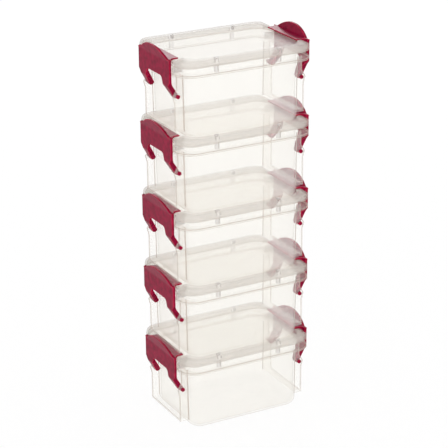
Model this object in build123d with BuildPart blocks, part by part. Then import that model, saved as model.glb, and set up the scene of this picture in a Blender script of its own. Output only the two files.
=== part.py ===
from build123d import *
import os

# A stack of identical clip-lid boxes. Each box is a tub, a lid that nests the
# tub above, and two snap handles that turn on pegs in the tub's end fins.
# Millimetres, +Z up. The origin is on the floor under the middle of the stack.
# X runs along the boxes, from one handle to the other.

# ---- Stack -------------------------------------------------------------------
box_count = 5

# ---- Tub ---------------------------------------------------------------------
tub_length = 72.0            # outside, at the base
tub_width = 51.6             # outside, at the base
tub_height = 44.0            # base to the top of the rim
tub_corner_radius = 8.0
base_radius = 4.0            # rounding between walls and base
wall = 1.1
floor_thickness = 1.2
draft = 0.9                  # degrees that the walls lean outwards

rim_thickness = 1.2          # flange at the very top, under the lid
flange_drop = 6.8            # top of the rim to the underside of the lower flange
flange_thickness = 1.4
flange_edge_radius = 0.4
gusset_offset = 20.0         # gussets and lid ribs, from the middle of a long side
gusset_width = 2.2

# ---- End fins and ledges of the tub ------------------------------------------
fin_inset = 0.4              # outer face of a fin, in from the handle's side
fin_thickness = 1.2
fin_root_depth = 4.0         # fins and ledges start this far inside the tub's end
brow_setback = 0.4           # fin edge above the lower flange, in from the lid's edge
fin_top_setback = 2.6        # fin edge above the pivot, in from the lid's edge
fin_low_setback = 1.3        # fin edge below the pivot, in from the lid's edge
ear_setback = 0.2            # fin edge at the pivot, in from the lid's edge
ear_height = 4.0             # half the height of that ear
ledge_height = 3.9           # underside of the ledge above the base
ledge_thickness = 1.2

# ---- Lid ---------------------------------------------------------------------
lid_end_overhang = 7.0       # past the tub's base at each end
lid_side_overhang = 4.2      # past the tub's base at each long side
lid_corner_radius = 10.5
panel_thickness = 1.0
border_rise = 2.1            # border top above the panel
border_edge_radius = 0.8
skirt_drop = 1.5             # skirt below the panel
skirt_thickness = 1.0
nest_clearance = 0.6         # tub base to the recess of the lid below it
skirt_clearance = 0.25       # tub rim to the inside of the skirt
hook_rim_straight = 0.1      # straight foot of the lid's rounded edge under a handle
hook_zone_clearance = 0.5    # each side of a handle

# ---- Handle ------------------------------------------------------------------
handle_width = 38.6
handle_thickness = 1.4
handle_gap = 0.6             # lid edge to the inside of the handle
bend_radius = 4.5            # outside of the bend between plate and hook
hook_reach = 7.2             # outer face to the tip of the hook
hook_tip_inset = 2.8         # tip of the hook, in from each side of the handle
hook_thickness = 0.9
hook_clearance = 0.6         # lid to the underside of the hook
bead_radius = 0.5            # rounded tip of the hook
tab_rise = 5.1               # thumb tab above the hook's top, at its middle
tab_lean = 1.7               # thumb tab leans outwards by this
tab_lean_length = 6.5        # height over which it leans, above a straight foot
tab_arch_radius = 27.6
tab_shoulder_drop = 5.5      # top of the thumb tab down to its square shoulders
tab_edge_radius = 0.4
plate_drop = 8.7             # tub rim down to the lower edge of the handle plate
plate_end_drop = 10.4        # the same at the plate's outer corners
leg_top_width = 10.4         # each leg, where it leaves the plate
window_corner_radius = 1.6
neck_drop = 13.0             # tub rim down to the necks, where the legs turn in to the pivot
neck_spread = 1.6            # each leg's inner side leans out by this down to its neck
foot_spread = 5.0            # and by this down to its foot
leg_gap = 0.8                # leg to fin
leg_end_radius = 1.5
pivot_drop = 19.2            # tub rim down to the pivot
pivot_offset = 5.2           # pivot in from the handle's outer face
peg_radius = 1.2
peg_running_clearance = 0.05
peg_root = 1.2               # peg starts this far inside the leg
peg_tip = 0.9                # peg past the outside of the fin

# ---- Heights and places worked out from the sizes above ------------------------
flange_z = tub_height - flange_drop
flange_top_z = flange_z + flange_thickness
rim_z = tub_height - rim_thickness
panel_z = tub_height
panel_top_z = panel_z + panel_thickness
stack_pitch = panel_top_z
border_top_z = panel_top_z + border_rise
skirt_z = panel_z - skirt_drop

lid_length = tub_length + 2 * lid_end_overhang
lid_width = tub_width + 2 * lid_side_overhang
lid_end = lid_length / 2
channel_length = lid_length - 2 * skirt_thickness
channel_width = lid_width - 2 * skirt_thickness
channel_radius = lid_corner_radius - skirt_thickness
rim_length = channel_length - 2 * skirt_clearance
rim_width = channel_width - 2 * skirt_clearance
rim_radius = channel_radius - skirt_clearance
recess_length = tub_length + 2 * nest_clearance
recess_width = tub_width + 2 * nest_clearance
recess_radius = tub_corner_radius + nest_clearance
hook_zone = handle_width + 2 * hook_zone_clearance
fin_root = tub_length / 2 - fin_root_depth
hook_rim_radius = panel_top_z - skirt_z - hook_rim_straight
lid_bend_x = lid_end - hook_rim_radius
lid_bend_z = panel_top_z - hook_rim_radius

plate_in = lid_end + handle_gap
plate_out = plate_in + handle_thickness
pivot_x = plate_out - pivot_offset
pivot_z = tub_height - pivot_drop
plate_low_z = tub_height - plate_drop
plate_corner_z = tub_height - plate_end_drop
neck_z = tub_height - neck_drop
leg_low_z = pivot_z - leg_end_radius
hook_under_z = panel_top_z + hook_clearance
hook_top_z = hook_under_z + 2 * bead_radius
hook_bend_z = hook_top_z - bend_radius
tab_top_z = hook_top_z + tab_rise

half_handle = handle_width / 2
half_hook_tip = half_handle - hook_tip_inset
half_window = half_handle - leg_top_width
fin_outside = half_handle - fin_inset
fin_inside = fin_outside - fin_thickness
leg_outside = fin_inside - leg_gap

clear_past = 5.0             # cutters run this far past what they cut


def rounded_box(length, width, radius, bottom, top, taper=0.0):
    """Add a rounded rectangular block between two heights."""
    with BuildSketch(Plane.XY.offset(bottom)) as outline:
        RectangleRounded(length, width, radius)
    extrude(outline.sketch, amount=top - bottom, taper=taper)


def make_cavity():
    """The hollow of the tub, as a block to cut away."""
    with BuildPart() as cavity:
        rounded_box(
            tub_length - 2 * wall,
            tub_width - 2 * wall,
            tub_corner_radius - wall,
            floor_thickness,
            tub_height + clear_past,
            taper=-draft,
        )
        fillet(cavity.edges().group_by(Axis.Z)[0], base_radius - wall)
    return cavity.part


def make_tub():
    """Tub with its two flanges, gussets, end fins, ledges and peg holes."""
    cavity = make_cavity()
    brow_z = skirt_z - skirt_clearance
    fin_outline = [
        (fin_root, rim_z),
        (lid_bend_x, rim_z),
        (lid_bend_x, brow_z),
        (lid_end - brow_setback, brow_z),
        (lid_end - brow_setback, flange_z),
        (lid_end - fin_top_setback, flange_z),
        (lid_end - fin_top_setback, pivot_z + ear_height),
        (lid_end - ear_setback, pivot_z),
        (lid_end - fin_low_setback, pivot_z - ear_height),
        (lid_end - fin_low_setback, ledge_height),
        (fin_root, ledge_height),
    ]
    with BuildPart() as tub:
        rounded_box(lid_length, lid_width, lid_corner_radius, flange_z, flange_top_z)
        levels = tub.edges().group_by(Axis.Z)
        fillet(levels[0] + levels[-1], flange_edge_radius)
        rounded_box(tub_length, tub_width, tub_corner_radius, 0, tub_height, taper=-draft)
        fillet(tub.edges().group_by(Axis.Z)[0], base_radius)
        rounded_box(rim_length, rim_width, rim_radius, rim_z, tub_height)
        with BuildSketch(Plane.XY.offset(rim_z)):
            for side in (1, -1):
                with Locations((side * (lid_bend_x + lid_end / 2), 0)):
                    Rectangle(lid_end, hook_zone + 2 * skirt_clearance)
        extrude(amount=rim_thickness, mode=Mode.SUBTRACT)
        with BuildSketch(Plane.XY.offset(flange_top_z)):
            with Locations((gusset_offset, 0), (-gusset_offset, 0)):
                Rectangle(gusset_width, rim_width)
        extrude(amount=rim_z - flange_top_z)
        for hand in (1, -1):
            with BuildSketch(Plane.XZ.offset(hand * fin_inside)):
                with BuildLine():
                    Polyline(*fin_outline, close=True)
                make_face()
                mirror(about=Plane.YZ)
            extrude(amount=hand * fin_thickness)
        with BuildSketch(Plane.XY.offset(ledge_height)):
            Rectangle(2 * (lid_end - fin_low_setback), 2 * fin_outside)
        extrude(amount=ledge_thickness)
        add(cavity, mode=Mode.SUBTRACT)
        with BuildSketch(Plane.XZ):
            with Locations((pivot_x, pivot_z), (-pivot_x, pivot_z)):
                Circle(peg_radius + peg_running_clearance)
        extrude(amount=2 * fin_outside, both=True, mode=Mode.SUBTRACT)
    return tub.part


def make_lid():
    """Lid: a panel in a raised hollow border, level and rounded under the handles."""
    well_length = recess_length + 2 * panel_thickness
    well_width = recess_width + 2 * panel_thickness
    well_radius = recess_radius + panel_thickness
    skirt_inside = lid_end - skirt_thickness
    end_outline = [
        (lid_bend_x, panel_z),
        (fin_root, panel_z),
        (fin_root, panel_top_z),
        (lid_bend_x, panel_top_z),
    ]
    with BuildPart() as lid:
        rounded_box(lid_length, lid_width, lid_corner_radius, skirt_z, border_top_z)
        fillet(lid.edges().group_by(Axis.Z)[-1], border_edge_radius)
        with BuildSketch(Plane.XY.offset(panel_top_z)):
            RectangleRounded(recess_length, recess_width, recess_radius)
        extrude(amount=border_rise + clear_past, mode=Mode.SUBTRACT)
        with BuildSketch(Plane.XY.offset(skirt_z)):
            RectangleRounded(channel_length, channel_width, channel_radius)
        extrude(amount=skirt_drop, mode=Mode.SUBTRACT)
        with BuildSketch(Plane.XY.offset(panel_z)):
            RectangleRounded(channel_length, channel_width, channel_radius)
            RectangleRounded(well_length, well_width, well_radius, mode=Mode.SUBTRACT)
            Rectangle(lid_length, hook_zone + 2 * skirt_thickness, mode=Mode.SUBTRACT)
            with Locations((gusset_offset, 0), (-gusset_offset, 0)):
                Rectangle(gusset_width, lid_width, mode=Mode.SUBTRACT)
        extrude(amount=panel_thickness + border_rise - skirt_thickness, mode=Mode.SUBTRACT)
        with BuildSketch(Plane.XY.offset(skirt_z)):
            for side in (1, -1):
                with Locations((side * (lid_bend_x + lid_end / 2), 0)):
                    Rectangle(lid_end, hook_zone)
        extrude(amount=border_top_z - skirt_z, mode=Mode.SUBTRACT)
        with BuildSketch(Plane.XY.offset(panel_top_z)):
            Rectangle(lid_length, hook_zone)
        extrude(amount=border_rise, mode=Mode.SUBTRACT)
        with BuildSketch(Plane.XZ):
            with BuildLine():
                Line((skirt_inside, lid_bend_z), (skirt_inside, skirt_z))
                Line((skirt_inside, skirt_z), (lid_end, skirt_z))
                Line((lid_end, skirt_z), (lid_end, lid_bend_z))
                CenterArc((lid_bend_x, lid_bend_z), hook_rim_radius, 0, 90)
                Polyline(*end_outline)
                CenterArc((lid_bend_x, lid_bend_z), hook_rim_radius - skirt_thickness, 0, 90)
            make_face()
            mirror(about=Plane.YZ)
        extrude(amount=hook_zone / 2, both=True)
    return lid.part


def make_thumb_tab():
    """Arched blade that stands on the hook's bend and leans outwards."""
    lean_z = tab_top_z - tab_lean_length
    shoulder_z = tab_top_z - tab_shoulder_drop
    with BuildPart() as tab:
        with BuildSketch(Plane.XZ):
            with BuildLine():
                Polyline(
                    (plate_in, hook_bend_z),
                    (plate_out, hook_bend_z),
                    (plate_out, lean_z),
                    (plate_out + tab_lean, tab_top_z),
                    (plate_in + tab_lean, tab_top_z),
                    (plate_in, lean_z),
                    close=True,
                )
            make_face()
        extrude(amount=half_handle, both=True)
        with BuildSketch(Plane.YZ):
            with Locations((0, tab_top_z - tab_arch_radius)):
                Circle(tab_arch_radius)
            with Locations((0, (hook_bend_z + shoulder_z) / 2)):
                Rectangle(handle_width, shoulder_z - hook_bend_z)
        extrude(amount=plate_out + clear_past, mode=Mode.INTERSECT)
        fillet(tab.edges().filter_by(GeomType.LINE, reverse=True), tab_edge_radius)
    return tab.part


def make_clip():
    """Plate and hook of a handle: an upright that bends over the lid's edge."""
    bend_x = plate_out - bend_radius
    bead_x = plate_out - hook_reach + bead_radius
    hook_inside_z = hook_top_z - hook_thickness
    with BuildPart() as clip:
        with BuildSketch(Plane.XZ):
            with BuildLine():
                CenterArc((bend_x, hook_bend_z), bend_radius, 0, 90)
                Line((bend_x, hook_top_z), (bead_x, hook_top_z))
                Line((bead_x, hook_top_z), (bead_x, hook_inside_z))
                Line((bead_x, hook_inside_z), (bend_x, hook_inside_z))
                EllipticalCenterArc(
                    (bend_x, hook_bend_z),
                    plate_in - bend_x,
                    hook_inside_z - hook_bend_z,
                    start_angle=0,
                    arc_size=90,
                )
                Polyline(
                    (plate_in, hook_bend_z),
                    (plate_in, plate_corner_z),
                    (plate_out, plate_corner_z),
                    (plate_out, hook_bend_z),
                )
            make_face()
            with Locations((bead_x, hook_under_z + bead_radius)):
                Circle(bead_radius)
        extrude(amount=half_handle, both=True)
        with BuildSketch(Plane.XY.offset(plate_corner_z)):
            Rectangle(2 * (plate_in - hook_tip_inset), 2 * half_hook_tip)
            with Locations((plate_out, 0)):
                Rectangle(2 * (hook_tip_inset + handle_thickness), handle_width)
            for hand in (1, -1):
                with Locations((plate_in - hook_tip_inset, hand * half_handle)):
                    Circle(hook_tip_inset, mode=Mode.SUBTRACT)
        extrude(amount=tab_top_z - plate_corner_z, mode=Mode.INTERSECT)
    return clip.part


def make_handle():
    """Snap handle for the +X end: clip, thumb tab, two legs and their pegs."""
    clip = make_clip()
    thumb_tab = make_thumb_tab()
    right_side = [
        (half_handle, tab_top_z),
        (half_handle, plate_corner_z),
        (leg_outside, neck_z),
        (leg_outside, leg_low_z),
        (half_window + foot_spread, leg_low_z),
        (half_window + neck_spread, neck_z),
        (half_window, plate_low_z),
    ]
    left_side = [(-y, z) for y, z in reversed(right_side)]
    with BuildPart() as handle:
        with BuildSketch(Plane.XZ):
            with Locations((pivot_x, pivot_z)):
                Circle(leg_end_radius)
            with Locations((plate_out, plate_corner_z)):
                Rectangle(handle_thickness, plate_corner_z - neck_z, align=(Align.MAX, Align.MAX))
            make_hull()
        extrude(amount=half_handle, both=True)
        add(clip)
        with BuildSketch(Plane.YZ) as front:
            with BuildLine():
                Polyline(*right_side, *left_side, close=True)
            make_face()
            corners = front.vertices().filter_by(lambda point: abs(point.Y) <= half_window)
            fillet(corners, window_corner_radius)
        extrude(amount=plate_out + clear_past, mode=Mode.INTERSECT)
        add(thumb_tab)
        for hand in (1, -1):
            with BuildSketch(Plane.XZ.offset(hand * (leg_outside - peg_root))):
                with Locations((pivot_x, pivot_z)):
                    Circle(peg_radius)
            extrude(amount=hand * (fin_outside + peg_tip - leg_outside + peg_root))
    return handle.part


def place(shape, name, level, mirrored=False):
    """Write one copy of a piece at its level of the stack, as its own node."""
    with BuildPart() as piece:
        with Locations((0, 0, level * stack_pitch)):
            add(shape)
        if mirrored:
            mirror(about=Plane.YZ, mode=Mode.REPLACE)
    piece.part.label = name
    export_step(piece.part, f"parts/{name}.step")


os.makedirs("parts", exist_ok=True)
tub_shape = make_tub()
lid_shape = make_lid()
handle_shape = make_handle()

for level in range(box_count):
    number = level + 1
    place(tub_shape, f"tub_{number}", level)
    place(lid_shape, f"lid_{number}", level)
    place(handle_shape, f"handle_right_{number}", level)
    place(handle_shape, f"handle_left_{number}", level, mirrored=True)
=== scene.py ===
import math

import bmesh
import bpy
from mathutils import Matrix, Vector


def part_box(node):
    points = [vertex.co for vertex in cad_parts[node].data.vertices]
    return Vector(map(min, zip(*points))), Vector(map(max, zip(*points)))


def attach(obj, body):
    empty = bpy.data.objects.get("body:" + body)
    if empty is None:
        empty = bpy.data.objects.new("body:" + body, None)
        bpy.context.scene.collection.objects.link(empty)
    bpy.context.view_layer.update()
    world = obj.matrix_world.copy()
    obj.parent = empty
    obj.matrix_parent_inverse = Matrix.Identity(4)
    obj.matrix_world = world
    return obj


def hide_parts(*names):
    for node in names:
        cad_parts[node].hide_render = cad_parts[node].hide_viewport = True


bl_info = {
    "name": "Clip-lid box stack",
    "version": (1, 0, 0),
    "blender": (4, 5, 0),
    "location": "3D View > Sidebar > Boxes",
    "description": "Models a stack of clear clip-lid boxes with snap handles",
    "category": "Object",
}

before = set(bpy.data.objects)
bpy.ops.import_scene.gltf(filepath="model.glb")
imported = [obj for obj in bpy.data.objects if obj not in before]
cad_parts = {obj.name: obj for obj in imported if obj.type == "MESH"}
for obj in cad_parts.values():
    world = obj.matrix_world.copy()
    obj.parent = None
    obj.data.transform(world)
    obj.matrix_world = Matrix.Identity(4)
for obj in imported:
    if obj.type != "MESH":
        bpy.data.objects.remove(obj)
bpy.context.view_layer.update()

BOX_COUNT = sum(1 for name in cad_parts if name.startswith("tub_"))
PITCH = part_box("tub_2")[0].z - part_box("tub_1")[0].z

# Lengths in metres: places this close count as the same one, shapes that are joined reach this far into
# each other, cutters reach this far past what they cut, and long cutters this far each way.
TINY = 0.00001
OVERLAP = 0.0002
FAR = 0.02
THROUGH = 0.08

# A direction along which no two corners of a piece come level.
ORDER = Vector((1.0, math.sqrt(1 / 2), math.sqrt(1 / 3)))

CORNER_STEPS = 10
EDGE_STEPS = 2
FLAT_ANGLE = math.radians(1.0)
SHARP_ANGLE = math.radians(50.0)
SMOOTH_ANGLE = math.radians(32.0)

# The slots of a piece's finishes, after the plain faces in slot 0: edges with painted edge lines (painted
# shade on clear plastic, a painted highlight on red plastic), ribs with painted shade, and the panel.
EDGES, SHADED_RIBS, PANEL = 1, 2, 3

# Clear plastic: how sharply its deep tint and its veil set in at a slant, how cloudy the veil is, and how
# much the grain changes the roughness.
CLEAR_INDEX = 1.49
DEEP_POWER = 9.0
SLANT_POWER = 4.0
CLOUD_SHARE = 0.05
CLEAR_GRAIN = 0.1

# Red plastic: its darkest and lightest patches as parts of its colour, how far they stand apart and out,
# and how much the grain changes the roughness.
RED_INDEX = 1.5
DARK_PATCH = 0.55
LIGHT_PATCH = 1.4
PATCH_CONTRAST = 1.6
PATCH_RELIEF = 0.6
RED_GRAIN = 0.2

# The stage: a white room, and pale paper that glows where it is seen but still takes shadows.
WHITE = (1.0, 1.0, 1.0, 1.0)
PAPER = (0.9, 0.9, 0.9, 1.0)
PAPER_ROUGHNESS = 0.9
PAPER_GLOW = 0.9
FLOOR_SIZE = 6.0
FLOOR_DROP = 0.0002
LAMP_AIM = (0.0, 0.0, 0.12)
SENSOR_WIDTH = 36.0
VIEW_END = 20.0
SEE_THROUGH_LAYERS = 64


# ---- Settings -------------------------------------------------------------------


def length(name, description, default):
    """A size in metres."""
    return bpy.props.FloatProperty(
        name=name, description=description, default=default, unit="LENGTH", precision=5
    )


def share(name, description, default):
    """A part of one."""
    return bpy.props.FloatProperty(
        name=name, description=description, default=default, subtype="FACTOR"
    )


def angle(name, description, default):
    """A turn in radians."""
    return bpy.props.FloatProperty(
        name=name, description=description, default=default, subtype="ANGLE"
    )


def colour(name, description, default):
    """A linear colour."""
    return bpy.props.FloatVectorProperty(
        name=name, description=description, default=default, subtype="COLOR"
    )


class TubSizes(bpy.types.PropertyGroup):
    length: length("Length", "Outside length at the base", 0.072)
    width: length("Width", "Outside width at the base", 0.0516)
    height: length("Height", "Base to the top of the rim", 0.044)
    corner: length("Corner radius", "Rounding of the upright corners", 0.008)
    base_round: length("Base rounding", "Rounding between walls and base", 0.004)
    wall: length("Wall", "Thickness of walls and floor", 0.0011)
    lean: length("Lean", "How far each wall leans out over its height", 0.00069)
    rim_length: length("Rim length", "Flange at the very top", 0.0835)
    rim_width: length("Rim width", "Flange at the very top", 0.0575)
    rim_corner: length("Rim corner radius", "Rounding of the rim's corners", 0.00925)
    rim_thickness: length("Rim thickness", "Height of the rim", 0.0012)
    flange_low: length("Flange height", "Base to the underside of the lower flange", 0.0372)
    flange_thickness: length("Flange thickness", "Height of the lower flange", 0.0014)
    gusset_offset: length("Gusset offset", "Gussets and lid ribs from the middle", 0.020)
    gusset_width: length("Gusset width", "Thickness of gussets and lid ribs", 0.0022)
    fin_outside: length("Fin offset", "Outer face of a fin from the middle", 0.0189)
    fin_thickness: length("Fin thickness", "Thickness of an end fin", 0.0012)
    brow_reach: length("Brow reach", "Fin edge from the middle, above the lower flange", 0.0426)
    brow_top: length("Brow top", "Base to the top of the fin under the lid's skirt", 0.04225)
    fin_top_reach: length("Fin reach at the top", "Fin edge from the middle, above its ear", 0.0404)
    fin_low_reach: length("Fin reach below", "Fin edge from the middle, below its ear", 0.0417)
    ear_reach: length("Ear reach", "Tip of the fin's ear from the middle", 0.0428)
    ear_height: length("Ear height", "Half the height of the ear", 0.004)
    root_bead: length("Root bead", "Thickening where a fin meets the end wall", 0.0005)
    ledge_low: length("Ledge height", "Base to the underside of the ledge", 0.0039)
    ledge_thickness: length("Ledge thickness", "Height of the ledge", 0.0012)
    hole: length("Peg hole radius", "Radius of the holes in the fins", 0.00125)


class LidSizes(bpy.types.PropertyGroup):
    length: length("Length", "Outside length", 0.086)
    width: length("Width", "Outside width", 0.060)
    corner: length("Corner radius", "Rounding of the lid's corners", 0.0105)
    panel: length("Panel", "Thickness of the panel", 0.001)
    rise: length("Border rise", "Border above the panel", 0.0021)
    drop: length("Skirt drop", "Skirt below the panel", 0.0015)
    skirt: length("Skirt", "Thickness of skirt and border", 0.001)
    edge_round: length("Edge rounding", "Rounding of the border's outer edge", 0.0008)
    end_round: length("End rounding", "Rounding of the border's top at the two ends", 0.0055)
    recess_length: length("Recess length", "Room for the tub above", 0.0732)
    recess_width: length("Recess width", "Room for the tub above", 0.0528)
    recess_corner: length("Recess corner radius", "Room for the tub above", 0.0086)
    zone: length("Hook zone", "Half the width of the level ends", 0.0198)
    hook_round: length("Hook rounding", "Rounding of the edge under a hook", 0.0024)


class HandleSizes(bpy.types.PropertyGroup):
    half_width: length("Half width", "Middle to the side of a handle", 0.0193)
    outside: length("Outside", "Outer face from the middle of the box", 0.045)
    thickness: length("Thickness", "Thickness of the plate", 0.0014)
    top: length("Top", "Base of the tub to the hook's top", 0.0466)
    bend: length("Bend", "Outside radius between plate and hook", 0.0045)
    reach: length("Hook reach", "Outer face to the tip of the hook", 0.0072)
    hook: length("Hook thickness", "Thickness of the hook", 0.0009)
    tip_inset: length("Tip inset", "Tip of the hook in from each side", 0.0028)
    tab_top: length("Tab top", "Base of the tub to the top of the thumb tab", 0.0517)
    tab_lean: length("Tab lean", "How far the thumb tab leans out", 0.00165)
    tab_lean_length: length("Tab lean length", "Height over which it leans", 0.0065)
    tab_arch: length("Tab arch", "Radius of the thumb tab's outline", 0.0276)
    shoulder: length("Shoulder", "Base of the tub to the tab's shoulders", 0.0462)
    plate_low: length("Plate edge", "Base of the tub to the plate's lower edge", 0.0353)
    plate_corner: length("Plate corner", "Base of the tub to the plate's outer corners", 0.0336)
    neck: length("Neck", "Base of the tub to the necks of the legs", 0.0310)
    neck_inside: length("Neck inside", "Middle to a leg's inner side at its neck", 0.0105)
    half_window: length("Half window", "Middle to the top of a leg's inner side", 0.0089)
    window_round: length("Window rounding", "Corners between plate and legs", 0.0016)
    leg_inside: length("Leg inside", "Middle to a leg's inner side at its foot", 0.0139)
    leg_outside: length("Leg outside", "Middle to a leg's outer side at its foot", 0.0169)
    leg_low: length("Leg end", "Base of the tub to the lowest part of a leg", 0.0233)
    leg_round: length("Leg rounding", "Radius of a leg's round end", 0.0015)
    pivot_x: length("Pivot place", "Pivot from the middle of the box", 0.0398)
    pivot_z: length("Pivot height", "Base of the tub to the pivot", 0.0248)
    peg: length("Peg radius", "Radius of a peg", 0.0012)
    peg_end: length("Peg end", "Middle to the end of a peg", 0.0198)


class ClearPlasticSettings(bpy.types.PropertyGroup):
    wall_colour: colour("Wall colour", "Light that walls and panels scatter", (0.92, 0.925, 0.93))
    wall_veil: share("Wall veil", "Share of light that a face of a wall stops", 0.15)
    wall_slant: share("Wall veil at a slant", "Share that it stops when seen at a slant", 0.28)
    # Painted shade: the border is the same plastic as the panel, given a darker colour.
    border_shade_colour: colour("Border colour", "Light that a lid's border scatters", (0.56, 0.525, 0.5))
    border_veil: share("Border veil", "Share of light that a face of the border stops", 0.3)
    border_slant: share("Border veil at a slant", "Share that it stops when seen at a slant", 0.4)
    # Painted shade: a darker colour on the rounded edges draws the dark lines that refraction gives clear
    # plastic there.
    edge_colour: colour("Edge colour", "Colour of moulded edges", (0.5, 0.43, 0.375))
    edge_veil: share("Edge veil", "Share of light that an edge stops", 0.68)
    # Painted shade: ribs, gussets and fin faces are given a darker colour than the walls.
    rib_shade_colour: colour("Rib colour", "Colour of solid ribs", (0.5, 0.475, 0.465))
    rib_veil: share("Rib veil", "Share of light that a rib's face stops under the border", 0.65)
    gusset_veil: share("Gusset veil", "Share of light that a gusset's face stops", 0.4)
    tint: colour("Tint", "Light that passes a face", (0.995, 0.99, 0.977))
    deep_tint: colour("Deep tint", "Light that passes along a face", (0.5, 0.42, 0.35))
    translucence: share("Translucence", "Share of the scattered light that comes from behind", 0.25)
    gloss: share("Gloss", "Strength of the mirrored light", 0.07)
    roughness: share("Roughness", "Roughness of the moulded surface", 0.25)
    edge_width: length("Edge width", "Width of the rounded edges", 0.0003)
    brim_width: length("Brim width", "Width of the rounded edges of flange and skirt", 0.0004)


class HandlePlasticSettings(bpy.types.PropertyGroup):
    colour: colour("Colour", "Colour of the snap handles", (0.205, 0.0015, 0.026))
    # Painted highlight: thin edges get a brighter red, which stands in for light shining through them.
    edge_colour: colour("Edge colour", "Brighter colour of thin edges", (0.36, 0.008, 0.036))
    gloss: share("Gloss", "Strength of the mirrored light", 0.06)
    roughness: share("Roughness", "Roughness of the moulded surface", 0.32)
    edge_width: length("Edge width", "Width of the rounded edges", 0.0003)


class StageSettings(bpy.types.PropertyGroup):
    azimuth: angle("Azimuth", "Turn of the camera round the stack", 0.4957017)
    elevation: angle("Elevation", "Height angle of the camera", 0.3657231)
    roll: angle("Roll", "Tilt of the camera about its own view", -0.0075042)
    distance: length("Distance", "Camera to the point it looks at", 1.0708689)
    lens: bpy.props.FloatProperty(
        name="Lens", description="Focal length in millimetres on a 36 mm sensor", default=145.899
    )
    target: bpy.props.FloatVectorProperty(
        name="Target",
        description="Point that the camera looks at",
        default=(-0.0010806, 0.0, 0.1157378),
        subtype="XYZ",
    )
    world_light: share("World light", "Strength of the even light from all round", 0.95)


# ---- Shader maths ---------------------------------------------------------------


class Wire:
    """A node's output, which adds Math nodes when it is used in an expression."""

    def __init__(self, tree, socket):
        self.tree = tree
        self.socket = socket

    def beside(self, name):
        """Another output of the same node."""
        return Wire(self.tree, self.socket.node.outputs[name])

    def maths(self, operation, *values):
        node = self.tree.nodes.new("ShaderNodeMath")
        node.operation = operation
        for entry, value in zip(node.inputs, values):
            plug(self.tree, entry, value)
        return Wire(self.tree, node.outputs[0])

    def __add__(self, other):
        return self.maths("ADD", self, other)

    def __radd__(self, other):
        return self.maths("ADD", other, self)

    def __sub__(self, other):
        return self.maths("SUBTRACT", self, other)

    def __rsub__(self, other):
        return self.maths("SUBTRACT", other, self)

    def __mul__(self, other):
        return self.maths("MULTIPLY", self, other)

    def __rmul__(self, other):
        return self.maths("MULTIPLY", other, self)

    def __pow__(self, other):
        return self.maths("POWER", self, other)


def plug(tree, entry, value):
    """Link a wire into a socket, or set the socket to a plain value."""
    if isinstance(value, Wire):
        tree.links.new(value.socket, entry)
    else:
        entry.default_value = value


class Recipe:
    """A node tree of a material or world."""

    def __init__(self, owner, output_kind):
        owner.use_nodes = True
        self.owner = owner
        self.tree = owner.node_tree
        self.tree.nodes.clear()
        self.output = self.tree.nodes.new(output_kind)

    def node(self, kind, settings=None, values=None, output=0):
        """Add any node and give back one of its outputs."""
        made = self.tree.nodes.new(kind)
        for name, value in (settings or {}).items():
            setattr(made, name, value)
        for name, value in (values or {}).items():
            plug(self.tree, made.inputs[name], value)
        return Wire(self.tree, made.outputs[output])

    def noise(self, scale, detail):
        """Soft noise over the piece, with a scale in waves per metre."""
        place = self.node("ShaderNodeTexCoord", output="Object")
        values = {"Vector": place, "Scale": scale, "Detail": detail}
        return self.node("ShaderNodeTexNoise", values=values)

    def bump(self, height, strength, distance):
        values = {"Strength": strength, "Distance": distance, "Height": height}
        return self.node("ShaderNodeBump", values=values)

    def blend(self, share_of_second, first, second):
        """A mix of two surfaces."""
        return self.node("ShaderNodeMixShader", values={0: share_of_second, 1: first, 2: second})

    def finish(self, surface):
        plug(self.tree, self.output.inputs["Surface"], surface)
        return self.owner


def material_recipe(name):
    return Recipe(bpy.data.materials.new(name), "ShaderNodeOutputMaterial")


# ---- Modelling helpers ----------------------------------------------------------


def alone(piece):
    """Select one object and nothing else."""
    bpy.ops.object.select_all(action="DESELECT")
    piece.select_set(True)
    bpy.context.view_layer.objects.active = piece


def pick(piece, kind, test):
    """Open a piece in edit mode with the parts selected whose corners pass a test."""
    alone(piece)
    bpy.ops.object.mode_set(mode="EDIT")
    bpy.ops.mesh.select_mode(type=kind)
    bpy.ops.mesh.select_all(action="DESELECT")
    shape = bmesh.from_edit_mesh(piece.data)
    parts = {"VERT": shape.verts, "EDGE": shape.edges, "FACE": shape.faces}[kind]
    for part in parts:
        corners = [part.co] if kind == "VERT" else [corner.co for corner in part.verts]
        part.select_set(test(corners))
    bmesh.update_edit_mesh(piece.data)


def close_edit():
    """Leave edit mode."""
    bpy.ops.object.mode_set(mode="OBJECT")


def anything(corners):
    """The test that picks all of a piece."""
    return True


def every(test):
    """A test that all the corners have to pass."""
    return lambda corners: all(test(corner) for corner in corners)


def at(axis, value):
    """A test for corners that lie at one place along an axis."""
    return every(lambda corner: abs(corner[axis] - value) < TINY)


def past(axis, value):
    """A test for corners that lie beyond a place along an axis."""
    return every(lambda corner: corner[axis] > value)


def runs(axis):
    """A test for edges whose ends differ along an axis."""
    return lambda corners: abs(corners[0][axis] - corners[1][axis]) > TINY


def both(*tests):
    """A test that holds where all of the given ones do."""
    return lambda corners: all(test(corners) for test in tests)


def either(*tests):
    """A test that holds where one of the given ones does."""
    return lambda corners: any(test(corners) for test in tests)


def upright(corners):
    """True for an edge that runs straight up."""
    return runs(2)(corners) and (corners[0].xy - corners[1].xy).length < TINY


def middle(corners):
    """The mean place of some corners."""
    return sum(corners, Vector()) / len(corners)


def depth(corner, long, wide, radius):
    """How far a corner lies inside a rounded rectangle."""
    x = abs(corner.x) - long / 2 + radius
    y = abs(corner.y) - wide / 2 + radius
    outside = math.hypot(max(x, 0.0), max(y, 0.0))
    return radius - outside - min(max(x, y), 0.0)


def reach(side, start, end):
    """Two places on one side of the middle, the lower one first."""
    return sorted((side * start, side * end))


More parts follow.
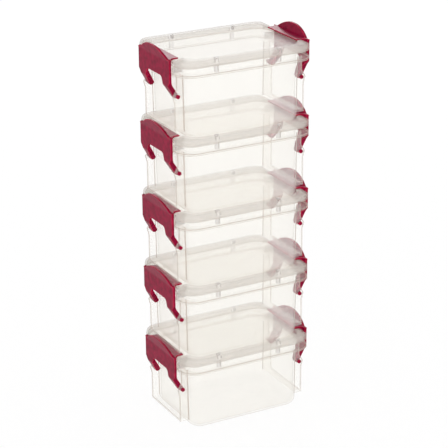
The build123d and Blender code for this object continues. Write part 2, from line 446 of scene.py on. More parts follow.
def take_in(name, finishes):
    """Name a new primitive, put its place in its mesh and give it its finishes."""
    piece = bpy.context.object
    piece.name = name
    bpy.ops.object.transform_apply(location=True, rotation=True, scale=True)
    for finish in finishes:
        piece.data.materials.append(finish)
    return piece


def block(name, low, high, finishes):
    """A box between two corners."""
    centre = [(a + b) / 2 for a, b in zip(low, high)]
    size = [b - a for a, b in zip(low, high)]
    bpy.ops.object.select_all(action="DESELECT")
    bpy.ops.mesh.primitive_cube_add(size=1.0, location=centre, scale=size)
    return take_in(name, finishes)


def round_edges(piece, test, radius, steps, finish=-1):
    """Round the picked edges, and give the new strips their own finish."""
    pick(piece, "EDGE", test)
    bpy.ops.mesh.bevel(
        offset_type="OFFSET",
        offset=radius,
        segments=steps,
        affect="EDGES",
        clamp_overlap=False,
        material=finish,
    )
    close_edit()


def soften(piece, test, width):
    """Round the picked edges as narrow moulded edges, which take the painted edge finish."""
    round_edges(piece, test, width, EDGE_STEPS, EDGES)


def move(piece, test, by):
    """Move the picked corners."""
    pick(piece, "VERT", test)
    bpy.ops.transform.translate(value=by)
    close_edit()


def split(piece, height):
    """Cut a level line round a piece."""
    pick(piece, "FACE", anything)
    bpy.ops.mesh.bisect(plane_co=(0.0, 0.0, height), plane_no=(0.0, 0.0, 1.0))
    close_edit()


def slice_across(piece, place):
    """Cut an upright line round a piece, across its length."""
    pick(piece, "FACE", anything)
    bpy.ops.mesh.bisect(plane_co=(place, 0.0, 0.0), plane_no=(1.0, 0.0, 0.0))
    close_edit()


def rounded_block(name, long, wide, radius, bottom, top, finishes):
    """A block with rounded upright corners, centred on the box."""
    piece = block(name, (-long / 2, -wide / 2, bottom), (long / 2, wide / 2, top), finishes)
    round_edges(piece, upright, radius, CORNER_STEPS)
    return piece


def rod(name, radius, across, centre, finishes, steps=32):
    """A round rod along an axis, 0 for X and 1 for Y, from one place to another."""
    axis, start, end = across
    place = list(centre)
    place.insert(axis, (start + end) / 2)
    turn = (0.0, math.pi / 2, 0.0) if axis == 0 else (math.pi / 2, 0.0, 0.0)
    bpy.ops.object.select_all(action="DESELECT")
    bpy.ops.mesh.primitive_cylinder_add(
        vertices=steps, radius=radius, depth=end - start, location=place, rotation=turn
    )
    return take_in(name, finishes)


def add_modifier(piece, kind, settings):
    """Put a modifier on a piece and apply it."""
    alone(piece)
    modifier = piece.modifiers.new("shape", kind)
    for name, value in settings.items():
        setattr(modifier, name, value)
    bpy.ops.object.modifier_apply(modifier=modifier.name)


def put_in_order(piece):
    """Number corners, edges and faces by place, because a boolean leaves them in any order."""
    pick(piece, "VERT", anything)
    shape = bmesh.from_edit_mesh(piece.data)
    shape.verts.sort(key=lambda corner: corner.co.dot(ORDER))
    for parts in (shape.edges, shape.faces):
        parts.sort(key=lambda part: middle([corner.co for corner in part.verts]).dot(ORDER))
    bmesh.update_edit_mesh(piece.data)
    close_edit()


def combine(piece, operation, *tools):
    """Join, cut or keep the overlap of a piece with others, which are used up."""
    for tool in tools:
        add_modifier(piece, "BOOLEAN", {"operation": operation, "solver": "EXACT", "object": tool})
        bpy.data.objects.remove(tool)
        put_in_order(piece)


def mirror(piece, along_x, along_y):
    """Add a piece's mirror image across the middle of the box, along X or Y."""
    settings = {"use_axis": (along_x, along_y, False), "use_mirror_merge": False}
    add_modifier(piece, "MIRROR", settings)


def repaint(piece, test, finish):
    """Give the picked faces another of the piece's finishes."""
    pick(piece, "FACE", test)
    piece.active_material_index = finish
    bpy.ops.object.material_slot_assign()
    close_edit()


def settle(piece):
    """Merge what booleans leave double and shade the piece."""
    pick(piece, "VERT", anything)
    bpy.ops.mesh.remove_doubles(threshold=TINY / 2)
    bpy.ops.mesh.dissolve_degenerate(threshold=TINY / 2)
    close_edit()
    bpy.ops.object.shade_smooth_by_angle(angle=SMOOTH_ANGLE)
    add_modifier(piece, "WEIGHTED_NORMAL", {"keep_sharp": True})


def stack_up(first, part):
    """Copy a finished piece to every level of the stack and tie each copy to its node."""
    for number in range(BOX_COUNT, 0, -1):
        node = f"{part}_{number}"
        if number == 1:
            piece = first
        else:
            alone(first)
            bpy.ops.object.duplicate()
            piece = bpy.context.object
            bpy.ops.transform.translate(value=(0.0, 0.0, PITCH * (number - 1)))
            bpy.ops.object.transform_apply(location=True, rotation=True, scale=True)
        piece.name = f"moulded_{node}"
        piece.data.name = piece.name
        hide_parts(node)
        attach(piece, node)


# ---- Plastics -------------------------------------------------------------------


def make_clear_plastic(name, look, shade, veil, slant_veil):
    """Milky see-through plastic: tinted light passes it, and a thin veil scatters light.

    The veil grows towards a slanting view. Shadow rays and scattered rays pass it unstopped, so
    that the layers behind each other stay as bright as thin plastic is.
    """
    recipe = material_recipe(name)
    facing = recipe.node("ShaderNodeLayerWeight", values={"Blend": 0.5}, output="Facing")
    cloud = recipe.noise(scale=70.0, detail=3.0)
    grain = recipe.noise(scale=1500.0, detail=2.0)
    bump = recipe.bump(grain, strength=0.06, distance=0.00005)
    plastic = recipe.node(
        "ShaderNodeBsdfPrincipled",
        values={
            "Base Color": (*shade, 1.0),
            "Roughness": look.roughness + (grain - 0.5) * CLEAR_GRAIN,
            "IOR": CLEAR_INDEX,
            "Specular IOR Level": look.gloss,
            "Normal": bump,
        },
    )
    glow_values = {"Color": (*shade, 1.0), "Normal": bump}
    glow = recipe.node("ShaderNodeBsdfTranslucent", values=glow_values)
    milk = recipe.blend(look.translucence, plastic, glow)
    clear, deep = (
        recipe.node("ShaderNodeBsdfTransparent", values={"Color": (*tint, 1.0)})
        for tint in (look.tint, look.deep_tint)
    )
    passing = recipe.blend(facing**DEEP_POWER, clear, deep)
    solid = veil + (slant_veil - veil) * facing**SLANT_POWER + (cloud - 0.5) * CLOUD_SHARE
    shadow_path = recipe.node("ShaderNodeLightPath", output="Is Shadow Ray")
    diffuse_path = shadow_path.beside("Is Diffuse Ray")
    seen = 1.0 - shadow_path.maths("MAXIMUM", shadow_path, diffuse_path)
    return recipe.finish(recipe.blend(solid * seen, passing, milk))


def wall_plastic(name, look):
    return make_clear_plastic(name, look, look.wall_colour, look.wall_veil, look.wall_slant)


def edge_and_rib_plastics(part, look, rib_veil):
    """The finishes of a clear piece's rounded edges and of its solid ribs, both darker than the walls:
    painted shade.
    """
    edge_veil = look.edge_veil
    return (
        make_clear_plastic(f"{part}_edge_plastic", look, look.edge_colour, edge_veil, edge_veil),
        make_clear_plastic(f"{part}_rib_shaded_plastic", look, look.rib_shade_colour, rib_veil, rib_veil),
    )


def make_handle_plastic(name, look, shade):
    """Deep red moulded plastic with faint patches and a fine satin grain."""
    recipe = material_recipe(name)
    grain = recipe.noise(scale=1600.0, detail=3.0)
    cloud = recipe.noise(scale=350.0, detail=3.0)
    dark, light = ([part * channel for channel in shade] for part in (DARK_PATCH, LIGHT_PATCH))
    # A Mix node for colours has its factor, first and second colour at inputs 0, 6 and 7.
    mixed = recipe.node(
        "ShaderNodeMix",
        {"data_type": "RGBA"},
        {0: (cloud - 0.5) * PATCH_CONTRAST + 0.5, 6: (*dark, 1.0), 7: (*light, 1.0)},
        output=2,
    )
    surface = recipe.node(
        "ShaderNodeBsdfPrincipled",
        values={
            "Base Color": mixed,
            "Roughness": look.roughness + (grain - 0.5) * RED_GRAIN,
            "IOR": RED_INDEX,
            "Specular IOR Level": look.gloss,
            "Normal": recipe.bump(grain + cloud * PATCH_RELIEF, strength=0.25, distance=0.0001),
        },
    )
    return recipe.finish(surface)


# ---- Tub ------------------------------------------------------------------------


def tub_hull(name, tub, inset, finishes):
    """The solid outline of the tub, set in from its outside: rounded, and leaning out to the top."""
    long, wide = tub.length - 2 * inset, tub.width - 2 * inset
    hull = rounded_block(name, long, wide, tub.corner - inset, inset, tub.height, finishes)
    pick(hull, "VERT", at(2, tub.height))
    growth = ((long + 2 * tub.lean) / long, (wide + 2 * tub.lean) / wide, 1.0)
    bpy.ops.transform.resize(value=growth, center_override=(0.0, 0.0, tub.height))
    close_edit()
    round_edges(hull, at(2, inset), tub.base_round - inset, steps=6)
    return hull


def tub_collar(tub, lid, finishes, edge, brim):
    """Rim, lower flange and the gussets between them."""
    rim_low = tub.height - tub.rim_thickness
    flange_top = tub.flange_low + tub.flange_thickness
    outline = (lid.length, lid.width, lid.corner)
    collar = rounded_block("collar", *outline, tub.flange_low, flange_top, finishes)
    soften(collar, at(2, flange_top), brim)
    soften(collar, at(2, tub.flange_low), brim)
    outline = (tub.rim_length, tub.rim_width, tub.rim_corner)
    rim = rounded_block("rim", *outline, rim_low, tub.height, finishes)
    soften(rim, at(2, rim_low), edge)
    half_notch = lid.zone + OVERLAP
    notch_start = lid.length / 2 - lid.hook_round
    half = tub.rim_width / 2 - edge / 2
    for side in (-1, 1):
        near, far = reach(side, notch_start, notch_start + FAR)
        notch = block(
            "notch",
            (near, -half_notch, rim_low - FAR),
            (far, half_notch, tub.height + FAR),
            finishes,
        )
        combine(rim, "DIFFERENCE", notch)
        start = side * tub.gusset_offset - tub.gusset_width / 2
        gusset = block(
            "gusset",
            (start, -half, flange_top - OVERLAP),
            (start + tub.gusset_width, half, rim_low + OVERLAP),
            finishes,
        )
        soften(gusset, upright, edge)
        # The gusset takes the painted rib shade.
        repaint(gusset, anything, SHADED_RIBS)
        combine(collar, "UNION", gusset)
    combine(collar, "UNION", rim)
    return collar


def fin_brow(tub, lid, finishes, edge):
    """The part of a fin above the lower flange, which ends under the rim and the lid's skirt."""
    root = tub.length / 2 - tub.base_round
    rim_low = tub.height - tub.rim_thickness
    fin_inside = tub.fin_outside - tub.fin_thickness
    brow = block(
        "brow",
        (root, fin_inside, tub.flange_low + OVERLAP),
        (tub.brow_reach, tub.fin_outside, rim_low + OVERLAP),
        finishes,
    )
    step = block(
        "step",
        (lid.length / 2 - lid.hook_round, tub.fin_outside - FAR, tub.brow_top),
        (tub.brow_reach + FAR, tub.fin_outside + FAR, rim_low + FAR),
        finishes,
    )
    combine(brow, "DIFFERENCE", step)
    soften(brow, both(upright, at(0, tub.brow_reach)), edge)
    # Both faces of the fin take the painted rib shade.
    repaint(brow, either(at(1, fin_inside), at(1, tub.fin_outside)), SHADED_RIBS)
    return brow


def root_bead(tub, finishes):
    """A slim upright bead in the corner between a fin and the end wall, which leans with the wall."""
    wall = tub.length / 2
    low = tub.ledge_low + tub.ledge_thickness / 2
    high = tub.flange_low + OVERLAP
    bead = block(
        "bead",
        (wall - tub.wall, tub.fin_outside - tub.fin_thickness / 2, low),
        (wall + tub.root_bead, tub.fin_outside + tub.root_bead, high),
        finishes,
    )
    for height in (low, high):
        lean = tub.lean * height / tub.height
        move(bead, both(past(0, wall), at(2, height)), (lean, 0.0, 0.0))
    outer_edge = both(past(0, wall), past(1, tub.fin_outside))
    round_edges(bead, outer_edge, tub.root_bead / 2, EDGE_STEPS)
    # The whole bead takes the painted edge shade, which draws a dark line in the corner.
    repaint(bead, anything, EDGES)
    return bead


def tub_ends(tub, lid, handle, finishes, edge):
    """The fins that hold the handles' pegs, and the ledges between them."""
    root = tub.length / 2 - tub.base_round
    fin_top = tub.flange_low + 2 * OVERLAP
    fins = block(
        "fins",
        (root, tub.fin_outside - tub.fin_thickness, tub.ledge_low),
        (tub.fin_low_reach, tub.fin_outside, fin_top),
        finishes,
    )
    ear_top = handle.pivot_z + tub.ear_height
    for height in (handle.pivot_z - tub.ear_height, handle.pivot_z, ear_top):
        split(fins, height)
    outer = past(0, root + TINY)
    ear_tip = both(outer, at(2, handle.pivot_z))
    move(fins, ear_tip, (tub.ear_reach - tub.fin_low_reach, 0.0, 0.0))
    above_ear = both(outer, past(2, ear_top - TINY))
    move(fins, above_ear, (tub.fin_top_reach - tub.fin_low_reach, 0.0, 0.0))
    along_side = either(at(1, tub.fin_outside), at(1, tub.fin_outside - tub.fin_thickness))
    soften(fins, both(outer, along_side, runs(2)), edge)
    hole = rod("hole", tub.hole, (1, 0.0, FAR * 2), (handle.pivot_x, handle.pivot_z), finishes)
    combine(fins, "DIFFERENCE", hole)
    combine(fins, "UNION", fin_brow(tub, lid, finishes, edge), root_bead(tub, finishes))
    ledge = block(
        "ledge",
        (root, -tub.fin_outside + OVERLAP, tub.ledge_low),
        (tub.fin_low_reach, tub.fin_outside - OVERLAP, tub.ledge_low + tub.ledge_thickness),
        finishes,
    )
    soften(ledge, both(at(0, tub.fin_low_reach), runs(1)), edge)
    mirror(fins, False, True)
    combine(fins, "UNION", ledge)
    mirror(fins, True, False)
    return fins


def model_tub(scene, finishes):
    """One tub: thin shell with collar, fins, ledges and peg holes."""
    tub, lid, handle = scene.boxes_tub, scene.boxes_lid, scene.boxes_handle_sizes
    edge, brim = scene.boxes_clear.edge_width, scene.boxes_clear.brim_width
    shell = tub_hull("tub", tub, 0.0, finishes)
    pick(shell, "FACE", at(2, tub.height))
    bpy.ops.mesh.delete(type="FACE")
    close_edit()
    # An offset of -1 puts all of the wall inside the outline.
    walls = {"thickness": tub.wall, "offset": -1.0, "use_even_offset": True}
    add_modifier(shell, "SOLIDIFY", walls)
    outline = (tub.length + 2 * tub.lean, tub.width + 2 * tub.lean, tub.corner + tub.lean)
    inner = every(lambda corner: depth(corner, *outline) > tub.wall / 2)
    soften(shell, both(at(2, tub.height), inner), edge)
    collar = tub_collar(tub, lid, finishes, edge, brim)
    ends = tub_ends(tub, lid, handle, finishes, edge)
    for extra in (collar, ends):
        inside = tub_hull("inside", tub, tub.wall / 2, finishes)
        move(inside, at(2, tub.height), (0.0, 0.0, OVERLAP))
        combine(extra, "DIFFERENCE", inside)
        combine(shell, "UNION", extra)
    settle(shell)
    return shell


# ---- Lid ------------------------------------------------------------------------


def end_cutter(end, top, radius, finishes):
    """What lies outside the round top of both ends of a lid's border."""
    start, low = end - radius, top - radius
    outside = block(
        "outside",
        (start, -FAR * 2, low),
        (end + FAR, FAR * 2, top + FAR),
        finishes,
    )
    centre = (start + 2 * TINY, low + 2 * TINY)
    bar = rod("bar", radius, (1, -FAR * 3, FAR * 3), centre, finishes, steps=64)
    combine(outside, "DIFFERENCE", bar)
    mirror(outside, True, False)
    return outside


def lid_hollow(tub, lid, finishes):
    """The hollow under the lid's border, cut short at the hook zones and the ribs."""
    low = tub.height - OVERLAP
    high = tub.height + lid.panel + lid.rise - lid.skirt
    inset = lid.skirt + TINY
    outline = (lid.length - 2 * inset, lid.width - 2 * inset, lid.corner - inset)
    hollow = rounded_block("hollow", *outline, low, high, finishes)
    lowest, highest = low - FAR, high + FAR
    outline = (
        lid.recess_length + 2 * lid.panel,
        lid.recess_width + 2 * lid.panel,
        lid.recess_corner + lid.panel,
    )
    walls = [rounded_block("well", *outline, lowest, highest, finishes)]
    half_strip = lid.zone + lid.skirt
    walls.append(
        block(
            "strip", (-THROUGH, -half_strip, lowest), (THROUGH, half_strip, highest), finishes
        )
    )
    for side in (-1, 1):
        start = side * tub.gusset_offset - tub.gusset_width / 2
        end = start + tub.gusset_width
        walls.append(
            block("rib", (start, -THROUGH, lowest), (end, THROUGH, highest), finishes)
        )
    walls.append(end_cutter(lid.length / 2 - inset, high, lid.end_round - lid.skirt, finishes))
    combine(hollow, "DIFFERENCE", *walls)
    return hollow


def lid_ends(tub, lid, finishes, edge):
    """The level, rounded ends that the hooks of the handles hold."""
    end = lid.length / 2
    low = tub.height - lid.drop + TINY
    panel_top = tub.height + lid.panel - TINY
    root = end - lid.hook_round - OVERLAP
    half = lid.zone + OVERLAP
    ends = block("ends", (root, -half, low), (end, half, panel_top), finishes)
    repaint(ends, anything, PANEL)
    soften(ends, both(at(0, end), at(2, low)), edge)
    round_edges(ends, both(at(0, end), at(2, panel_top)), lid.hook_round, steps=8)
    inside, ceiling = end - lid.skirt, tub.height + TINY
    room = block(
        "room",
        (root - FAR, -half - FAR, low - FAR),
        (inside, half + FAR, ceiling),
        finishes,
    )
    top_edge = both(at(0, inside), at(2, ceiling))
    round_edges(room, top_edge, lid.hook_round - lid.skirt, steps=6)
    combine(ends, "DIFFERENCE", room)
    mirror(ends, True, False)
    return ends


def model_lid(scene, finishes):
    """One lid: panel, raised hollow border with ribs, skirt, and two level ends."""
    tub, lid = scene.boxes_tub, scene.boxes_lid
    edge, brim = scene.boxes_clear.edge_width, scene.boxes_clear.brim_width
    low = tub.height - lid.drop
    panel_top = tub.height + lid.panel
    top = panel_top + lid.rise
    end = lid.length / 2
    shell = rounded_block("lid", lid.length, lid.width, lid.corner, low, top, finishes)
    round_edges(shell, at(2, top), lid.edge_round, steps=3)
    soften(shell, at(2, low), brim)
    well = (lid.recess_length, lid.recess_width, lid.recess_corner)
    recess = rounded_block("recess", *well, panel_top, top + FAR, finishes)
    combine(shell, "DIFFERENCE", recess)
    slack = TINY * 5
    beside_well = every(lambda corner: abs(depth(corner, *well)) < slack)
    round_edges(shell, both(at(2, top), beside_well), brim, EDGE_STEPS)
    outline = (lid.length - 2 * lid.skirt, lid.width - 2 * lid.skirt, lid.corner - lid.skirt)
    cutters = [
        end_cutter(end, top, lid.end_round, finishes),
        rounded_block("channel", *outline, low - FAR, tub.height, finishes),
        lid_hollow(tub, lid, finishes),
        block(
            "level", (-THROUGH, -lid.zone, panel_top), (THROUGH, lid.zone, top + FAR), finishes
        ),
    ]
    for side in (-1, 1):
        near, far = reach(side, end - lid.hook_round, end - lid.hook_round + FAR)
        cutters.append(
            block("gap", (near, -lid.zone, low - FAR), (far, lid.zone, top + FAR), finishes)
        )
    combine(shell, "DIFFERENCE", *cutters)
    combine(shell, "UNION", lid_ends(tub, lid, finishes, edge))
    half_rib = tub.gusset_width / 2
    for side in (-1, 1):
        for place in (side * tub.gusset_offset - half_rib, side * tub.gusset_offset + half_rib):
            slice_across(shell, place)
    panel = every(lambda corner: depth(corner, *well) > -lid.panel - slack)
    repaint(shell, either(at(2, tub.height), at(2, panel_top), panel), PANEL)
    wall_middle = lid.recess_width / 2 + lid.panel
    # The well wall beside each rib takes the painted rib shade.
    repaint(
        shell,
        lambda corners: abs(abs(middle(corners).x) - tub.gusset_offset) < half_rib + TINY
        and abs(abs(middle(corners).y) - wall_middle) < lid.panel + TINY,
        SHADED_RIBS,
    )
    settle(shell)
    return shell


# ---- Handle ---------------------------------------------------------------------


def handle_clip(size, finishes):
    """Plate that bends over into a hook."""
    inside = size.outside - size.thickness
    hook_low = size.top - size.hook
    tip = size.outside - size.reach
    clip = block(
        "clip",
        (inside, -size.half_width, size.plate_corner),
        (size.outside, size.half_width, size.top),
        finishes,
    )
    split(clip, hook_low)
    pick(clip, "FACE", both(at(0, inside), past(2, hook_low - TINY)))
    bpy.ops.mesh.extrude_region_move(TRANSFORM_OT_translate={"value": (tip - inside, 0.0, 0.0)})
    close_edit()
    inner_corner = both(at(0, inside), at(2, hook_low))
    round_edges(clip, inner_corner, size.bend - size.thickness, steps=8)
    outer_corner = both(at(0, size.outside), at(2, size.top))
    round_edges(clip, outer_corner, size.bend, steps=12)
    for side in (-1, 1):
        near, far = reach(side, size.half_width - size.tip_inset, size.half_width + FAR)
        flare = block(
            "flare",
            (tip - FAR, near, size.plate_corner - FAR),
            (inside, far, size.top + FAR),
            finishes,
        )
        round_edges(flare, both(upright, at(0, inside)), size.tip_inset, steps=8)
        combine(clip, "DIFFERENCE", flare)
    return clip


def handle_tab(size, finishes):
    """Arched thumb tab that leans outwards above the bend."""
    inside = size.outside - size.thickness
    foot = size.top - size.bend
    tab = block(
        "tab",
        (inside, -size.half_width, foot),
        (size.outside, size.half_width, size.tab_top),
        finishes,
    )
    split(tab, size.tab_top - size.tab_lean_length)
    move(tab, at(2, size.tab_top), (size.tab_lean, 0.0, 0.0))
    arch = rod(
        "arch",
        size.tab_arch,
        (0, inside - FAR, size.outside + FAR),
        (0.0, size.tab_top - size.tab_arch),
        finishes,
        steps=256,
    )
    shoulders = block(
        "shoulders",
        (inside - FAR, -size.half_width - TINY, foot - FAR),
        (size.outside + FAR, size.half_width + TINY, size.shoulder),
        finishes,
    )
    combine(arch, "UNION", shoulders)
    combine(tab, "INTERSECT", arch)
    return tab


def handle_leg(size, side, finishes):
    """Leg from the plate's corner in to the pivot, before the window and the outer cut trim it."""
    inner, outer = size.outside - size.thickness, size.outside
    overreach = FAR / 10
    near, far = reach(side, size.half_window - overreach, size.half_width)
    leg = block(
        "leg",
        (inner, near, size.pivot_z),
        (outer, far, size.plate_corner + size.thickness),
        finishes,
    )
    split(leg, size.plate_corner)
    split(leg, size.neck)
    pivot = Vector((size.pivot_x, size.pivot_z))
    shoulder = Vector((outer, size.neck))
    lean = math.asin(size.leg_round / (pivot - shoulder).length)
    along = Matrix.Rotation(lean, 2) @ (pivot - shoulder).normalized()
    across = Vector((-along.y, along.x))
    foot = pivot + along * size.leg_round
    for place, hand in ((outer, 1), (inner, -1)):
        goal = foot + across * hand * size.leg_round
        step = (goal.x - place, 0.0, goal.y - size.pivot_z)
        move(leg, both(at(0, place), at(2, size.pivot_z)), step)
    fall = (size.plate_corner - size.neck) / (size.plate_corner - goal.y)
    move(leg, both(at(0, inner), at(2, size.neck)), (fall * (goal.x - inner), 0.0, 0.0))
    foot_edge = both(every(lambda corner: corner.z < size.pivot_z + size.leg_round), runs(1))
    # A little less than the full radius, so that the two round edges never meet.
    foot_round = size.leg_round * 0.98
    round_edges(leg, foot_edge, foot_round, steps=6)
    return leg


def handle_cutters(size, finishes):
    """The window between the legs and what is cut away outside them."""
    inner, outer = size.outside - FAR, size.outside + FAR
    overreach = FAR / 4
    low = size.leg_low - overreach
    window = block(
        "window",
        (inner, -size.half_window, low),
        (outer, size.half_window, size.plate_low),
        finishes,
    )
    neck_spread = size.neck_inside - size.half_window
    foot_spread = (size.leg_inside - size.neck_inside) * (size.neck - low) / (size.neck - size.leg_low)
    split(window, size.neck)
    for side in (-1, 1):
        on_side = every(lambda corner: corner.y * side > 0.0)
        for height, spread in ((low, neck_spread + foot_spread), (size.neck, neck_spread)):
            move(window, both(at(2, height), on_side), (0.0, side * spread, 0.0))
    round_edges(window, both(at(2, size.plate_low), runs(0)), size.window_round, steps=5)
    cutters = [window]
    flare = size.half_width - size.leg_outside + TINY
    for side in (-1, 1):
        near, far = reach(side, size.leg_outside, size.leg_outside + FAR)
        outside = block(
            "outside", (inner, near, low - FAR), (outer, far, size.plate_corner), finishes
        )
        split(outside, size.neck)
        top_edge = both(at(1, side * size.leg_outside), at(2, size.plate_corner))
        move(outside, top_edge, (0.0, side * flare, 0.0))
        cutters.append(outside)
    cutters.append(
        block("below", (inner, -FAR * 2, low - FAR * 2), (outer, FAR * 2, size.leg_low), finishes)
    )
    return cutters


def model_handle(scene, finishes):
    """One snap handle for the right-hand end."""
    size = scene.boxes_handle_sizes
    edge = scene.boxes_red.edge_width
    handle = handle_clip(size, finishes)
    combine(handle, "UNION", handle_leg(size, -1, finishes), handle_leg(size, 1, finishes))
    combine(handle, "DIFFERENCE", *handle_cutters(size, finishes))
    combine(handle, "UNION", handle_tab(size, finishes))
    pick(handle, "VERT", anything)
    bpy.ops.mesh.remove_doubles(threshold=TINY * 2)
    bpy.ops.mesh.dissolve_limited(angle_limit=FLAT_ANGLE)
    close_edit()
    # The bevelled edges take the painted edge finish, a painted highlight in brighter red.
    add_modifier(
        handle,
        "BEVEL",
        {
            "width": edge,
            "segments": EDGE_STEPS,
            "limit_method": "ANGLE",
            "angle_limit": SHARP_ANGLE,
            "use_clamp_overlap": False,
            "material": EDGES,
        },
    )
    # Level lines beside the necks and the tab's fold keep the shading of the bends short.
    soft = size.leg_round / 2
    fold = size.tab_top - size.tab_lean_length
    for height in (size.neck + soft, size.neck - soft, fold - soft, fold + soft):
        split(handle, height)
    for side in (-1, 1):
        ends = reach(side, size.leg_outside - size.peg, size.peg_end)
        peg = rod("peg", size.peg, (1, *ends), (size.pivot_x, size.pivot_z), finishes)
        soften(peg, at(1, side * size.peg_end), edge)
        combine(handle, "UNION", peg)
    settle(handle)
    return handle


# ---- Operators ------------------------------------------------------------------


class BOXES_OT_tubs(bpy.types.Operator):
    """Model the tubs"""

    bl_idname = "boxes.tubs"
    bl_label = "Tubs"

    def execute(self, context):
        look = context.scene.boxes_clear
        finishes = (
            wall_plastic("tub_plastic", look),
            *edge_and_rib_plastics("tub", look, look.gusset_veil),
        )
        stack_up(model_tub(context.scene, finishes), "tub")
        return {"FINISHED"}


class BOXES_OT_lids(bpy.types.Operator):
    """Model the lids"""

    bl_idname = "boxes.lids"
    bl_label = "Lids"

    def execute(self, context):
        look = context.scene.boxes_clear
        finishes = (
            # The border's finish is a darker copy of the panel plastic: painted shade.
            make_clear_plastic(
                "lid_border_shaded_plastic", look, look.border_shade_colour, look.border_veil, look.border_slant
            ),
            *edge_and_rib_plastics("lid", look, look.rib_veil),
            wall_plastic("lid_panel_plastic", look),
        )
        stack_up(model_lid(context.scene, finishes), "lid")
        return {"FINISHED"}


class BOXES_OT_handles(bpy.types.Operator):
    """Model the snap handles"""

    bl_idname = "boxes.handles"
    bl_label = "Snap handles"

    def execute(self, context):
        look = context.scene.boxes_red
        finishes = (
            make_handle_plastic("handle_plastic", look, look.colour),
            # The edge finish is a brighter copy of the red plastic: a painted highlight.
            make_handle_plastic("handle_edge_plastic", look, look.edge_colour),
        )
        right = model_handle(context.scene, finishes)
        alone(right)
        bpy.ops.object.duplicate()
        left = bpy.context.object
        bpy.ops.transform.resize(value=(-1.0, 1.0, 1.0), center_override=(0.0, 0.0, 0.0))
        bpy.ops.object.transform_apply(location=True, rotation=True, scale=True)
        pick(left, "FACE", anything)
        bpy.ops.mesh.normals_make_consistent(inside=False)
        close_edit()
        settle(left)
        stack_up(right, "handle_right")
        stack_up(left, "handle_left")
        return {"FINISHED"}


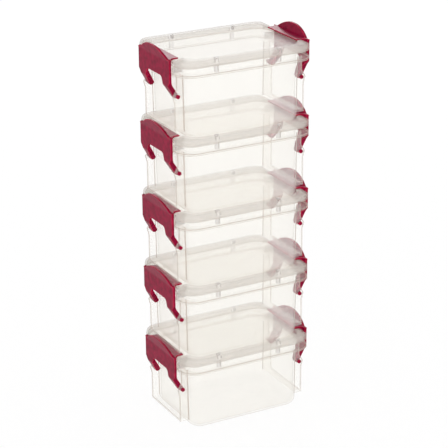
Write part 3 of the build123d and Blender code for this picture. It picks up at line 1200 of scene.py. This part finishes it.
class BOXES_OT_stage(bpy.types.Operator):
    """Add the floor, lights and camera"""

    bl_idname = "boxes.stage"
    bl_label = "Stage"

    def execute(self, context):
        stage = context.scene.boxes_stage
        self.add_world(context.scene, stage)
        self.add_floor()
        self.add_lamps()
        self.add_camera(context, stage)
        context.scene.view_settings.view_transform = "Standard"
        context.scene.cycles.transparent_max_bounces = SEE_THROUGH_LAYERS
        return {"FINISHED"}

    def seen_share(self, recipe):
        """One for rays that show a surface to the camera, straight or through gloss and glass."""
        straight = recipe.node("ShaderNodeLightPath", output="Is Camera Ray")
        glossy = straight.beside("Is Glossy Ray")
        through = straight.beside("Is Transmission Ray")
        return straight.maths("MAXIMUM", straight, glossy.maths("MAXIMUM", glossy, through))

    def add_world(self, scene, stage):
        scene.world = bpy.data.worlds.new("white_room")
        recipe = Recipe(scene.world, "ShaderNodeOutputWorld")
        strength = stage.world_light + (1.0 - stage.world_light) * self.seen_share(recipe)
        background = {"Color": WHITE, "Strength": strength}
        recipe.finish(recipe.node("ShaderNodeBackground", values=background))

    def add_floor(self):
        bpy.ops.object.select_all(action="DESELECT")
        bpy.ops.mesh.primitive_plane_add(size=FLOOR_SIZE, location=(0.0, 0.0, -FLOOR_DROP))
        recipe = material_recipe("floor_paper")
        paper_values = {"Base Color": PAPER, "Roughness": PAPER_ROUGHNESS}
        paper = recipe.node("ShaderNodeBsdfPrincipled", values=paper_values)
        glow = recipe.node("ShaderNodeEmission", values={"Color": WHITE, "Strength": 1.0})
        surface = recipe.blend(self.seen_share(recipe) * PAPER_GLOW, paper, glow)
        floor = take_in("floor", [recipe.finish(surface)])

    def add_lamps(self):
        for name, place, size, power in (
            ("key_lamp", (-1.2, -1.0, 0.4), 0.7, 7.5),
            ("fill_lamp", (0.9, -1.2, 0.3), 0.8, 3.5),
            ("back_lamp", (0.67, 1.23, 0.75), 0.4, 3.2),
        ):
            bpy.ops.object.select_all(action="DESELECT")
            bpy.ops.object.light_add(type="AREA", location=place)
            lamp = bpy.context.object
            lamp.name = name
            lamp.data.size = size
            lamp.data.energy = power
            aim = Vector(LAMP_AIM) - Vector(place)
            lamp.rotation_euler = aim.to_track_quat("-Z", "Y").to_euler()

    def add_camera(self, context, stage):
        flat, rise = math.cos(stage.elevation), math.sin(stage.elevation)
        back = Vector((-math.sin(stage.azimuth) * flat, -math.cos(stage.azimuth) * flat, rise))
        turn = (-back).to_track_quat("-Z", "Y").to_matrix() @ Matrix.Rotation(stage.roll, 3, "Z")
        place = Vector(stage.target) + back * stage.distance
        bpy.ops.object.camera_add(location=place, rotation=turn.to_euler())
        camera = context.object
        camera.name = "camera"
        camera.data.lens = stage.lens
        camera.data.sensor_width = SENSOR_WIDTH
        camera.data.clip_end = VIEW_END
        context.scene.camera = camera


class BOXES_PT_panel(bpy.types.Panel):
    bl_label = "Boxes"
    bl_idname = "BOXES_PT_panel"
    bl_space_type = "VIEW_3D"
    bl_region_type = "UI"
    bl_category = "Boxes"

    def draw(self, context):
        for operator in (BOXES_OT_tubs, BOXES_OT_lids, BOXES_OT_handles, BOXES_OT_stage):
            self.layout.operator(operator.bl_idname)


CLASSES = (
    TubSizes,
    LidSizes,
    HandleSizes,
    ClearPlasticSettings,
    HandlePlasticSettings,
    StageSettings,
    BOXES_OT_tubs,
    BOXES_OT_lids,
    BOXES_OT_handles,
    BOXES_OT_stage,
    BOXES_PT_panel,
)
SETTINGS = {
    "boxes_tub": TubSizes,
    "boxes_lid": LidSizes,
    "boxes_handle_sizes": HandleSizes,
    "boxes_clear": ClearPlasticSettings,
    "boxes_red": HandlePlasticSettings,
    "boxes_stage": StageSettings,
}


def register():
    for entry in CLASSES:
        bpy.utils.register_class(entry)
    for name, group in SETTINGS.items():
        setattr(bpy.types.Scene, name, bpy.props.PointerProperty(type=group))


def unregister():
    for name in SETTINGS:
        delattr(bpy.types.Scene, name)
    for entry in reversed(CLASSES):
        bpy.utils.unregister_class(entry)


def main():
    register()
    bpy.ops.boxes.tubs()
    bpy.ops.boxes.lids()
    bpy.ops.boxes.handles()
    bpy.ops.boxes.stage()


if __name__ == "__main__":
    main()
